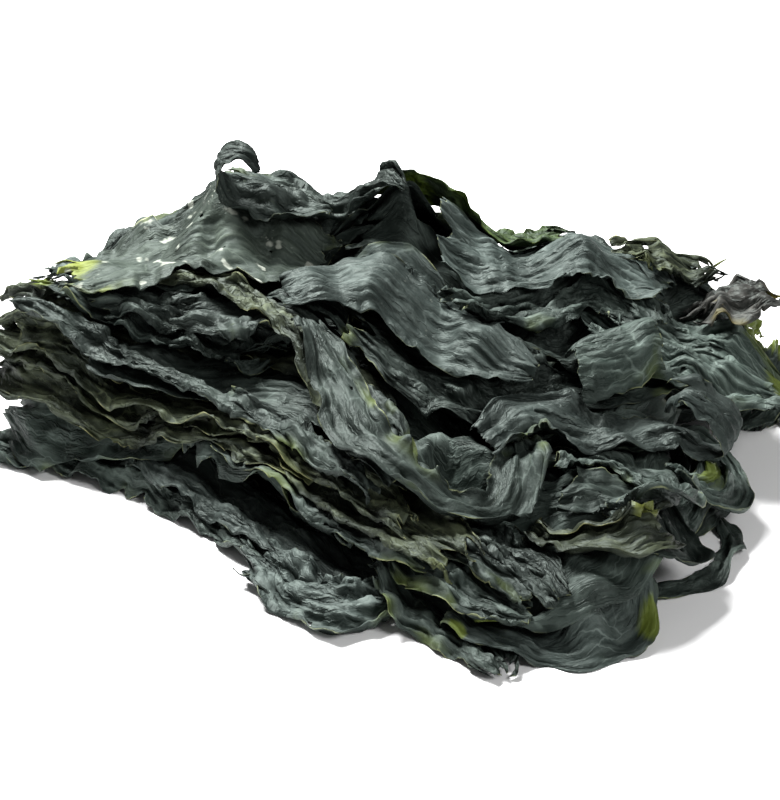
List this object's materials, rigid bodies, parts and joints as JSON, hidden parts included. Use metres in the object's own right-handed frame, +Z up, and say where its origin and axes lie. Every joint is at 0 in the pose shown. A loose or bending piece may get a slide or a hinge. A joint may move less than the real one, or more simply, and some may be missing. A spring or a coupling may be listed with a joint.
{
  "type": "dried kelp",
  "caption": "Heap of dried kelp: long leathery fronds, crumpled, pleated and ruffled, that dried lying on top of and around each other.",
  "frame": {"origin": "middle of the heap's footprint, on the surface it lies on", "axes": "+X along the heap's length, to the right of its front side; +Y away from the front side, towards the crest and the back; +Z up"},
  "size_m": [0.4422, 0.3522, 0.1517],
  "materials": {
    "blue": "satin",
    "brown": "satin",
    "dark": "satin",
    "green": "satin",
    "olive": "satin",
    "pale": "satin"
  },
  "bodies": {
    "root": {"flat_base": "dark", "low_left": "dark", "low_centre": "blue", "right_loop": "dark", "back_low": "dark", "right_low": "dark", "inner_1": "dark", "inner_2": "dark", "inner_3": "dark", "inner_4": "dark", "inner_5": "dark", "inner_6": "dark", "inner_7": "dark", "inner_8": "dark", "inner_9": "dark", "inner_10": "dark", "inner_11": "dark", "silver_pocket": "blue", "front_tip": "dark", "outer_lobe": "blue", "inner_lobe": "dark", "right_lobe": "dark", "back_middle": "dark", "front_pleats": "dark", "middle_pleats": "dark", "front_strand": "dark", "folded_lip": "olive", "lip_band": "olive", "wide_olive": "olive", "olive_strand": "olive", "rosette": "dark", "brown_strip": "olive", "smooth_band": "dark", "brown_strand": "olive", "lip_strand": "dark", "ragged_left": "dark", "dark_strips": "dark", "wide_fall": "dark", "dark_strand": "dark", "thin_strand": "olive", "spiral_bed": "dark", "right_edge": "dark", "right_fan": "dark", "brown_sheet": "brown", "centre_fold": "dark", "s_fold": "dark", "middle_sweep": "blue", "back_high": "dark", "upper_left": "dark", "pale_sheet": "pale", "grey_piece": "blue", "long_strip": "blue", "pleated_strip": "dark", "blue_sheet": "blue", "rolled_blade": "dark", "ragged_right": "olive", "green_back": "green", "narrow_ridge": "dark", "hook": "dark"}
  },
  "joints": []
}
